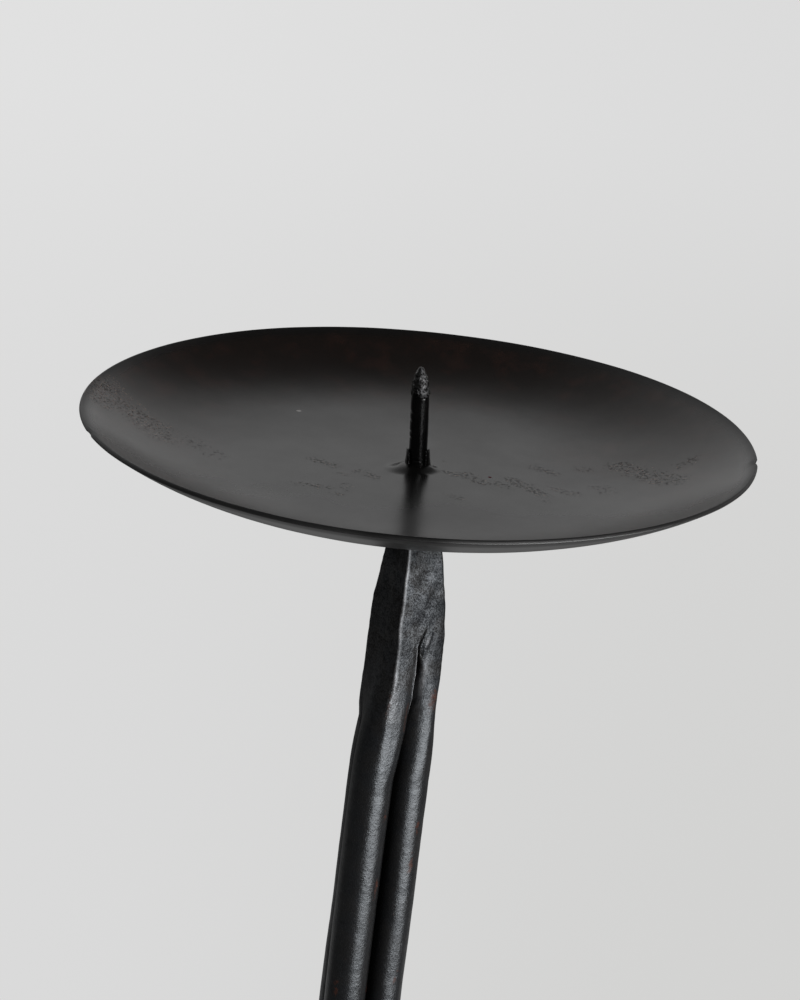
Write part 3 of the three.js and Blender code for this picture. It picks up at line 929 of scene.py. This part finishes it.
def head_outline(angle, depth):
    """Distance from the head's middle to its surface."""
    taper = smoothstep(np.clip(depth / CROTCH_DEPTH, 0, 1) ** HEAD_TAPER_POWER, 0, 1)
    turn = math.radians(HEAD_TURN) + head_twist(depth)
    square = square_outline(angle, lerp(HEAD_TOP_WIDTH, HEAD_FULL_WIDTH, taper), turn)
    outline = lerp(square, bundle_hull(angle), smoothstep(depth, CROTCH_DEPTH, HEAD_LENGTH - 7))
    for groove in GROOVES:
        centre, start, length = groove
        wander = np.interp(depth, HOOK_DEPTHS, HOOK_WANDER) if groove is FRONT_GROOVE else 0
        moved = angle - np.radians(wander)
        near = np.abs(off_angle(moved, centre)) < 60
        opened = smoothstep(depth, start, start + length)
        outline = outline - near * opened * (bundle_hull(moved) - bundle_outline(moved))
    for centre, half, filled in HEAD_FILLED:
        outline = outline + near_angle(angle, centre, half) * np.interp(depth, FILLED_DEPTHS, filled)
    return outline + front_groove_cut(angle, depth) + fold_relief(angle, depth)


# How bright the front arris is painted, by depth under the pan: worn to the metal, and part painted
# highlight.
ARRIS_DEPTHS = (0, 30, 40, 52, 58, 66, 72)
ARRIS_WEAR_AND_HIGHLIGHT = (0.85, 1.0, 0.8, 0.4, 0.7, 0.65, 0.0)
# Spots: direction that each faces, half width in degrees, height, half height, strength.
HEAD_RUST = ((320, 9, 1088, 13, 1.0), (286, 8, 1094, 8, 0.9), (9, 17, 1093, 10, 1.0))
HEAD_RUST_BASE = 0.12
# Painted highlights where the head parts into rods: direction, half width, depth, half depth, strength.
HEAD_PAINTED_HIGHLIGHTS = ((292, 13, 66, 9, 0.45), (347, 8, 62, 13, 0.38))  # by depth under the pan, not by height
ROD_RUST = {
    "front": (
        (353, 22, 1059, 7, 1.0),
        (353, 22, 1036, 8, 1.0),
        (266, 25, 1003, 7, 1.0),
        (20, 25, 1001, 8, 1.0),
    ),
    "right": (
        (341, 22, 1053, 6, 1.0),
        (335, 24, 1041, 8, 1.0),
        (300, 25, 1030, 16, 0.6),
        (330, 30, 1004, 8, 0.8),
    ),
    "left": ((220, 40, 1020, 20, 0.6),),
}
ROD_RUST_BASE = 0.3


def spotted(angle, height, spots, base):
    """A base everywhere, and more on some spots."""
    marked = [
        strength * near_angle(angle, facing, half) * bump_at(height, middle, tall)
        for facing, half, middle, tall, strength in spots
    ]
    return most(base, *marked)


def head_middle(height):
    joined = smoothstep(height, head_bottom, crotch)
    offset = stem_bow(height) + HEAD_OFFSET * joined
    return stem_axis + np.multiply.outer(offset, skew) + np.multiply.outer(height, [0, 0, 1])


def head_wear_and_highlights(rings, angle, depth):
    """How bright each point is painted: the front arris, part worn metal and part painted highlight, and
    painted highlights on the groove's lip, the knob by its top and a few spots where the head parts into
    rods.
    """
    wavy = 4.4 + 1.5 * grain(rings, 1.6, 8)
    corner = off_angle(angle - head_twist(depth), HEAD_TURN + 226.2)
    arris = bump_at(corner, 0, wavy) * np.interp(depth, ARRIS_DEPTHS, ARRIS_WEAR_AND_HIGHLIGHT)
    off = off_front_groove(angle, depth)
    lip = bump_at(off, LIP_OFF, 2.6) * band(depth, 49, 52, 66, 76)
    knob = 0.6 * bump_at(off, 13, 7) * bump_at(depth, 48.5, 2.2)
    return spotted(angle, depth, HEAD_PAINTED_HIGHLIGHTS, most(arris, lip, knob))


def head_painted_shade(angle, depth):
    """How much painted shade each point takes: in the grooves, the trench and the folds' creases, under
    the pan, and where the head turns away.
    """
    grooves = flank_painted_shade(angle) * smoothstep(depth, 60, 84)
    folds = -2.8 * np.clip(fold_relief(angle, depth), -0.25, 0)
    trench = np.clip(-front_groove_cut(angle, depth) * 1.5, 0, 1)
    return most(grooves, folds, trench, face_shade(angle, depth))


HEAD_AROUND = 200  # points round it, before the finer stretches
HEAD_RINGS = 280
DENT_DEPTH = 0.22
HEAD_SUNK = 0.25  # the head's top under the pan's floor
# Where the head's mesh is finer: first and last angle, and how many points.
HEAD_FINE = ((279, 297, 60), (312, 352, 110))


def build_head():
    even = np.linspace(0, 360, HEAD_AROUND, endpoint=False)
    fine = [np.linspace(*span) for span in HEAD_FINE]
    angle = np.radians(np.unique(np.concatenate([even, *fine])))
    height = np.linspace(pan_floor - HEAD_SUNK, head_bottom, HEAD_RINGS)
    depth = (pan_floor - height)[:, None]
    unit = level_units(angle)
    rings = head_middle(height)[:, None] + head_outline(angle, depth)[..., None] * unit
    forged = fade(depth, CROTCH_DEPTH + 6, CROTCH_DEPTH + 34)
    scaled = fade(depth, CROTCH_DEPTH - 3, HEAD_LENGTH - 2)
    crinkle = near_angle(angle, 286, 17) * bump_at(depth, 65, 11)
    dents = DENT_DEPTH * hammered(rings * [1, 1, 0.6], 6.5, 2) + 0.08 * grain(rings, 1.8, 5)
    relief = dents * forged + 0.05 * grain(rings, 4, 6) + 0.08 * crinkle * grain(rings, 1.3, 7)
    calm = smoothstep(height, head_bottom + 4, head_bottom + 16)[:, None]
    tucked = 0.05 * fade(height, head_bottom, head_bottom + 5)[:, None]
    rings += ((relief - 0.1 * forged) * calm - tucked)[..., None] * unit
    marks = iron_marks(
        forged=lerp(0.22, 1, scaled),
        rust=spotted(angle, height[:, None], HEAD_RUST, HEAD_RUST_BASE),
        edge=head_wear_and_highlights(rings, angle, depth),
        crinkle=crinkle,
        painted_shade=head_painted_shade(angle, depth),
    )
    skin("head_forging", rings, "stem_iron", marks, ["stem_head"])


# ---------- Legs ----------

upper_turn, lower_turn = math.radians(UPPER_BEND_ANGLE), math.radians(FOOT_ANGLE)
upper_reach = UPPER_BEND_RADIUS * (1 - math.cos(upper_turn))
upper_drop = UPPER_BEND_RADIUS * math.sin(upper_turn)
lower_reach = LOWER_BEND_RADIUS * (math.cos(lower_turn) - math.cos(upper_turn))
lower_drop = LOWER_BEND_RADIUS * (math.sin(upper_turn) - math.sin(lower_turn))
toe_reach, toe_drop = TOE_LENGTH * math.sin(lower_turn), TOE_LENGTH * math.cos(lower_turn)
shin_reach = foot_circle - bundle_radius - upper_reach - lower_reach - toe_reach
shin_drop = shin_reach / math.tan(upper_turn)
bend_height = rod_bottom + toe_drop + lower_drop + shin_drop + upper_drop
LEG_STEP = 2.3


def leg_profile():
    """Points down a leg in its own upright plane: distance from the stem's line, and height."""
    straight = np.arange(head_bottom + 5, bend_height, -LEG_STEP)
    parts = [np.stack([np.full_like(straight, bundle_radius), straight], 1)]
    turn = np.linspace(0, upper_turn, int(UPPER_BEND_RADIUS * upper_turn / LEG_STEP))
    knee_x = bundle_radius + UPPER_BEND_RADIUS * (1 - np.cos(turn))
    parts.append(np.stack([knee_x, bend_height - UPPER_BEND_RADIUS * np.sin(turn)], 1))
    share = np.linspace(0, 1, 18)[1:-1, None]
    shin_start = parts[-1][-1]
    shin_end = shin_start + [shin_reach, -shin_drop]
    parts.append(lerp(shin_start, shin_end, share))
    turn = np.linspace(upper_turn, lower_turn, 30)
    ankle = [-LOWER_BEND_RADIUS * math.cos(upper_turn), -LOWER_BEND_RADIUS * math.sin(upper_turn)]
    arc = LOWER_BEND_RADIUS * np.stack([np.cos(turn), np.sin(turn)], 1)
    parts.append(shin_end + ankle + arc)
    toe = np.linspace(0, 1, 9)[1:, None] * [toe_reach, -toe_drop]
    parts.append(parts[-1][-1] + toe)
    return np.concatenate(parts)


def sweep(line, radius, around):
    """Rings of a round section, square to a line of points."""
    ahead = np.gradient(line, axis=0)
    ahead /= np.linalg.norm(ahead, axis=1, keepdims=True)
    start = np.array([1.0, 0, 0])
    rights = []
    for forward in ahead:
        start = start - forward * (start @ forward)
        start = start / np.linalg.norm(start)
        rights.append(start)
    right = np.array(rights)
    up = np.cross(ahead, right)
    angle = around_circle(around)
    unit = right[:, None] * np.cos(angle)[:, None] + up[:, None] * np.sin(angle)[:, None]
    return line[:, None] + unit * np.asarray(radius)[:, None, None], unit


# How far each rod strays along the skew direction, and the height and half length over which it does.
ROD_STRAY = {"front": 0, "right": -0.3, "left": -0.75}
STRAY_PLACE = (975, 60)
ROD_TUCK = 0.16  # how much thinner a rod's end is, inside the head
ROD_AROUND = 64


def build_leg(side):
    outward = direction(leg_angles[side])
    flat = leg_profile()
    strayed = ROD_STRAY[side] * bump_at(flat[:, 1], *STRAY_PLACE)
    middle = stem_axis + np.multiply.outer(stem_bow(flat[:, 1]) + strayed, skew)
    line = middle + np.multiply.outer(flat[:, 0] + stem_opening(flat[:, 1]), outward)
    line[:, 2] = flat[:, 1]
    sunk = smoothstep(flat[:, 1], head_bottom - 1, head_bottom + 5)
    rings, unit = sweep(line, rod_radius - ROD_TUCK * sunk, ROD_AROUND)
    seed = SIDES.index(side) + 10
    free = fade(flat[:, 1], head_bottom - 8, head_bottom - 2)[:, None]
    relief = 0.15 * grain(rings * [1, 1, 0.4], 8, seed) + 0.06 * grain(rings * [1, 1, 0.6], 2.6, seed + 1)
    splayed = fade(flat[:, 1], bend_height - 40, bend_height)[:, None]
    relief += splayed * 0.25 * (hammered(rings, 9, seed) - 0.4)
    rings += (relief * free)[..., None] * unit
    rings[..., 2] = most(rings[..., 2], rod_bottom)
    facing = np.arctan2(unit[..., 1], unit[..., 0])
    marks = iron_marks(
        forged=splayed * 0.4 + 0.22,
        rust=spotted(facing, rings[..., 2], ROD_RUST[side], ROD_RUST_BASE),
        # painted shade on the side of each rod that faces the others
        painted_shade=fade(np.abs(off_angle(facing, leg_angles[side] + 180)), 45, 105),
    )
    skin(f"rod_{side}", rings, "stem_iron", marks, [f"leg_rod_{side}"])


# ---------- Collar ----------


def collar_path(distance):
    """Points round the rods at a distance from their middles, from one end of the slit to the other."""
    parts = []
    for side in ("left", "front", "right"):
        turn = np.radians(leg_angles[side] + np.linspace(-60, 60, 25))
        parts.append(direction(leg_angles[side]) * bundle_radius + distance * level_units(turn))
    first, last = parts[0][0], parts[-1][-1]
    half_slit = (first - last) / np.linalg.norm(first - last) * COLLAR_SLIT / 2
    middle = (first + last) / 2
    path = np.concatenate([[middle + half_slit], *parts, [middle - half_slit]])
    lengths = np.concatenate([[0], np.cumsum(np.linalg.norm(np.diff(path, axis=0), axis=1))])
    even = np.linspace(0, lengths[-1], 140)
    return np.stack([np.interp(even, lengths, path[:, axis]) for axis in range(3)], 1)


def rounded_box(half_width, half_height, radius):
    """Points round a rectangle with round corners."""
    points = []
    for corner, sign in enumerate(((1, 1), (-1, 1), (-1, -1), (1, -1))):
        turn = np.radians(np.linspace(0, 90, 5) + 90 * corner)
        centre = np.array(sign) * [half_width - radius, half_height - radius]
        points.append(centre + radius * np.stack([np.cos(turn), np.sin(turn)], 1))
    return np.concatenate(points)


def build_collar():
    inner = collar_path(rod_radius + ROD_GAP)
    outer = collar_path(rod_radius + ROD_GAP + COLLAR_THICKNESS)
    middle, out = (inner + outer) / 2, outer - inner
    out /= np.linalg.norm(out, axis=1, keepdims=True)
    tall = collar_top - collar_bottom
    section = rounded_box(COLLAR_THICKNESS / 2, tall / 2, COLLAR_EDGE)
    rings = stem_axis + middle[:, None] + out[:, None] * section[:, 0][:, None]
    rings[..., 2] = (collar_bottom + collar_top) / 2 + section[:, 1]
    outside = np.clip(section[:, 0] / (COLLAR_THICKNESS / 2), 0, 1)
    relief = -0.3 * hammered(rings, 7, 30) - 0.15 + 0.1 * grain(rings, 3, 31)
    rings += (relief * outside)[..., None] * out[:, None]
    skin("collar_band", rings, "stem_iron", iron_marks(0.7, 0.6), ["leg_collar"])


# ---------- Feet and welds ----------


def build_pad(side):
    seed = SIDES.index(side) + 40
    turn = np.radians(np.linspace(-90, 90, 13))
    inner = pad_radius - PAD_EDGE
    low = PAD_EDGE + PAD_EDGE * np.sin(turn)
    rim = np.stack([inner + PAD_EDGE * np.cos(turn), low], 1)
    rim[:, 1] += (turn >= 0) * (PAD_THICKNESS - 2 * PAD_EDGE)
    floor = [(share * inner, 0) for share in (0.02, 0.5)]
    top = [(share * inner, PAD_THICKNESS) for share in np.linspace(0.97, 0.02, 16)]
    profile = np.array([*floor, *rim, *top])
    angle = around_circle(96)
    x, y = profile[:, :1] * np.cos(angle), profile[:, :1] * np.sin(angle)
    rings = np.stack([x, y, profile[:, 1:] * np.ones_like(x)], 2)
    high = rings[..., 2] > PAD_THICKNESS / 2
    rings[..., 2] -= 0.45 * high * (1 - hammered(rings, 7, seed))
    rings[..., :2] *= 1 - 0.02 * (1 + grain(rings, 12, seed)[..., None]) / 2
    rings += pad_middles[side] * [1, 1, 0]
    skin(f"pad_{side}", rings, "stem_iron", iron_marks(0.8, 0.7), [f"foot_pad_{side}"])


def bead(centre, reach, radius, outward, stretch, seed, flat=1.0):
    """A weld bead laid in overlapping ripples round an oval."""
    around, along = 20, 150
    turn = around_circle(along)
    tangent = np.cross([0, 0, 1], outward)
    oval = np.multiply.outer(np.cos(turn) * stretch * reach, outward)
    oval += np.multiply.outer(np.sin(turn) * reach, tangent)
    out = oval / np.linalg.norm(oval, axis=1, keepdims=True)
    section = around_circle(around)
    ripples = 22
    swell = 1 + 0.10 * np.abs(np.sin(turn * ripples / 2)) + 0.1 * np.sin(turn * 2 + seed)
    tube = radius * swell[:, None]
    rings = oval[:, None] + out[:, None] * (tube * np.cos(section))[..., None]
    rings[..., 2] += flat * tube * np.sin(section)
    rings += 0.12 * grain(rings, 1.6, seed)[..., None] * out[:, None]
    return rings + centre


def build_foot_weld(side):
    seed = SIDES.index(side) + 50
    outward = direction(leg_angles[side])
    centre = pad_middles[side] * [1, 1, 0] + [0, 0, PAD_THICKNESS + 0.6]
    rings = bead(centre, rod_radius + 0.9, 1.9, outward, 1 / math.cos(lower_turn), seed)
    name, replaces = f"weld_{side}", [f"foot_weld_{side}"]
    skin(name, rings, "stem_iron", iron_marks(0.4, 0.5), replaces, closed=True)


def build_pan_weld():
    centre = head_middle(pan_floor - PAN_SHEET - 1.6)
    rings = bead(centre, HEAD_TOP_WIDTH * 0.62, PAN_WELD * 0.55, skew, 1.0, 60, flat=0.9)
    skin("pan_braze", rings, "stem_iron", iron_marks(0.4, 0.3), ["pan_weld"], closed=True)


# ---------- Camera ----------

CAMERA_AZIMUTH = 26  # from +X to the camera's right
CAMERA_ELEVATION = 19.55
CAMERA_ROLL = 5.10
CAMERA_DISTANCE = 590.1  # along the view, to the middle of the pan's rim
FOCAL_PIXELS = 2200
RIM_PIXEL = (418.8, 419.3)  # where the middle of the rim shows, in the 800 by 1000 frame
FRAME_PIXELS = (800, 1000)
SENSOR = 36  # millimetres on the frame's long side


def build_camera():
    data = bpy.data.cameras.new("camera")
    camera = add_object("camera", data)
    bpy.context.scene.camera = camera
    data.sensor_width = SENSOR
    data.lens = SENSOR * FOCAL_PIXELS / max(FRAME_PIXELS)
    data.clip_start, data.clip_end = 0.01, 60
    rise, roll = math.radians(CAMERA_ELEVATION), math.radians(CAMERA_ROLL)
    right = direction(CAMERA_AZIMUTH)
    level = direction(CAMERA_AZIMUTH + 90)
    forward = level * math.cos(rise) - np.array([0, 0, math.sin(rise)])
    up = level * math.sin(rise) + np.array([0, 0, math.cos(rise)])
    rolled_right = right * math.cos(roll) + up * math.sin(roll)
    rolled_up = up * math.cos(roll) - right * math.sin(roll)
    across = (RIM_PIXEL[0] - FRAME_PIXELS[0] / 2) / FOCAL_PIXELS * CAMERA_DISTANCE
    above = (FRAME_PIXELS[1] / 2 - RIM_PIXEL[1]) / FOCAL_PIXELS * CAMERA_DISTANCE
    rim = pan_middle + [0, 0, pan_depth]
    place = rim - rolled_right * across - rolled_up * above - forward * CAMERA_DISTANCE
    axes = np.stack([rolled_right, rolled_up, -forward], 1)
    matrix = np.eye(4)
    matrix[:3, :3] = axes
    matrix[:3, 3] = place * MM
    camera.matrix_world = Matrix(matrix.tolist())


# ---------- Light, floor and background ----------

# The backdrop's colours: left and right, near the floor and high up.
PALE_LOW = srgb(218, 218, 218), srgb(211, 211, 210)
PALE_HIGH = srgb(225, 225, 225), srgb(219, 219, 219)
DIM = 0.08  # what the dark sides of the studio send back
DIM_LEFT = 0.115  # the same, on the camera's left
BACKDROP_LIGHT = 0.57
BACKDROP_TILT = 0.4  # how much sooner the backdrop fades on its right, going up
BACKDROP_TOP = (0.25, 0.95)  # heights, as shares of straight up, between which its light fades
BACKDROP_SIDE = (0.25, 0.6)  # how directly one has to face the backdrop to see its light
DIM_SIDE = (-0.9, -0.2)  # how directly one faces the camera's right, from the left's light to the rest's
FLOOR_SIZE = 60.0  # metres
FLOOR_SHADE = srgb(222, 222, 221)
FLOOR_LIGHT = 0.33  # what the floor near the stand sends back in a reflection
# Distances from the stand, in metres, over which the floor goes from paper to backdrop, from the
# backdrop's low colours to its high ones, and from its own light in reflections to the dark side's.
FLOOR_NEAR, FLOOR_FAR, FLOOR_LIT = (0.4, 1.2), (1.5, 8.0), (1.2, 2.4)
# Lamps: name, angle round from the camera's right, distance and height in metres, size, watts.
LAMPS = (("key", -43, 1.9, 0.68, (1.75, 1.3), 68), ("glint", -54, 1.6, 2.0, (0.7, 0.3), 6))


def towards(nodes, vector, angle):
    """How directly a vector points in a level direction, from -1 to 1."""
    flat = nodes.vector_math("MULTIPLY", vector, (1, 1, 0))
    unit = nodes.vector_math("NORMALIZE", flat)
    return nodes.vector_math("DOT_PRODUCT", unit, tuple(direction(angle)))


def backdrop_share(nodes, vector):
    """1 towards the bright backdrop behind the stand, 0 towards the dark side of the studio."""
    return nodes.ramp(towards(nodes, vector, CAMERA_AZIMUTH + 90), *BACKDROP_SIDE)


def dim_level(nodes, vector):
    """What the dark side of the studio sends back from a direction."""
    return nodes.ramp(towards(nodes, vector, CAMERA_AZIMUTH), *DIM_SIDE, DIM_LEFT, DIM)


def pale_backdrop(nodes, vector, high):
    """The backdrop's colour, a shade lighter on one side and higher up."""
    share = nodes.ramp(towards(nodes, vector, CAMERA_AZIMUTH), -0.25, 0.25)
    return nodes.blend(high, nodes.blend(share, *PALE_LOW), nodes.blend(share, *PALE_HIGH))


def build_world():
    world = bpy.data.worlds.new("studio")
    bpy.context.scene.world = world
    nodes = Nodes(world)
    place = nodes.add("ShaderNodeTexCoord").outputs["Generated"]
    height = nodes.add("ShaderNodeSeparateXYZ", {0: place}).outputs["Z"]
    to_right = nodes.vector_math("DOT_PRODUCT", place, tuple(direction(CAMERA_AZIMUTH)))
    leaned_height = nodes.plus(height, nodes.times(to_right, BACKDROP_TILT))
    low = nodes.ramp(leaned_height, *BACKDROP_TOP, 1.0, 0.0)
    share = nodes.times(backdrop_share(nodes, place), low)
    seen = nodes.add("ShaderNodeBackground", {"Color": pale_backdrop(nodes, place, 1.0)})
    bright = nodes.ramp(share, 0, 1, dim_level(nodes, place), BACKDROP_LIGHT)
    lit = nodes.add("ShaderNodeBackground", {"Color": (1, 1, 1, 1), "Strength": bright})
    shown = nodes.mix_shader(nodes.light_path("Is Camera Ray"), lit.outputs[0], seen.outputs[0])
    nodes.add("ShaderNodeOutputWorld", {"Surface": shown})


def build_floor():
    mesh = bpy.data.meshes.new("floor")
    half = FLOOR_SIZE / 2
    corners = [(-half, -half, 0), (half, -half, 0), (half, half, 0), (-half, half, 0)]
    mesh.from_pydata(corners, [], [(0, 1, 2, 3)])
    floor = add_object("floor", mesh)
    material = bpy.data.materials.new("floor_paper")
    mesh.materials.append(material)
    nodes = Nodes(material)
    place = nodes.add("ShaderNodeNewGeometry").outputs["Position"]
    reach = nodes.vector_math("LENGTH", place)
    paper = nodes.add("ShaderNodeBsdfDiffuse", {"Color": FLOOR_SHADE}).outputs[0]
    high = nodes.ramp(reach, *FLOOR_FAR)
    glow = nodes.add("ShaderNodeEmission", {"Color": pale_backdrop(nodes, place, high)})
    far = nodes.ramp(reach, *FLOOR_NEAR, 0.6, 1.0)
    seen = nodes.mix_shader(far, paper, glow.outputs[0])
    near = nodes.times(backdrop_share(nodes, place), nodes.ramp(reach, *FLOOR_LIT, 1.0, 0.0))
    dim = nodes.ramp(near, 0, 1, dim_level(nodes, place), FLOOR_LIGHT)
    mirrored = nodes.add("ShaderNodeEmission", {"Color": (1, 1, 1, 1), "Strength": dim})
    lit = nodes.mix_shader(nodes.light_path("Is Glossy Ray"), paper, mirrored.outputs[0])
    shown = nodes.mix_shader(nodes.light_path("Is Camera Ray"), lit, seen)
    nodes.add("ShaderNodeOutputMaterial", {"Surface": shown})


def softbox(name, angle, distance, height, size, watts):
    """A soft rectangular lamp that faces the pan, at an angle round from the camera's right."""
    data = bpy.data.lights.new(name, "AREA")
    data.shape = "RECTANGLE"
    data.size, data.size_y = size
    data.energy = watts
    lamp = add_object(name, data)
    target = Vector(pan_middle * MM)
    place = Vector(direction(CAMERA_AZIMUTH + angle)) * distance
    lamp.location = (target.x + place.x, target.y + place.y, height)
    aim = target - lamp.location
    lamp.rotation_euler = aim.to_track_quat("-Z", "Y").to_euler()


# ---------- Assembly ----------

build_camera()
build_pan()
build_burr()
build_pricket()
build_head()
for side in SIDES:
    build_leg(side)
    build_pad(side)
    build_foot_weld(side)
build_collar()
build_pan_weld()
build_world()
build_floor()
for lamp in LAMPS:
    softbox(*lamp)

bpy.context.scene.view_settings.view_transform = "Standard"
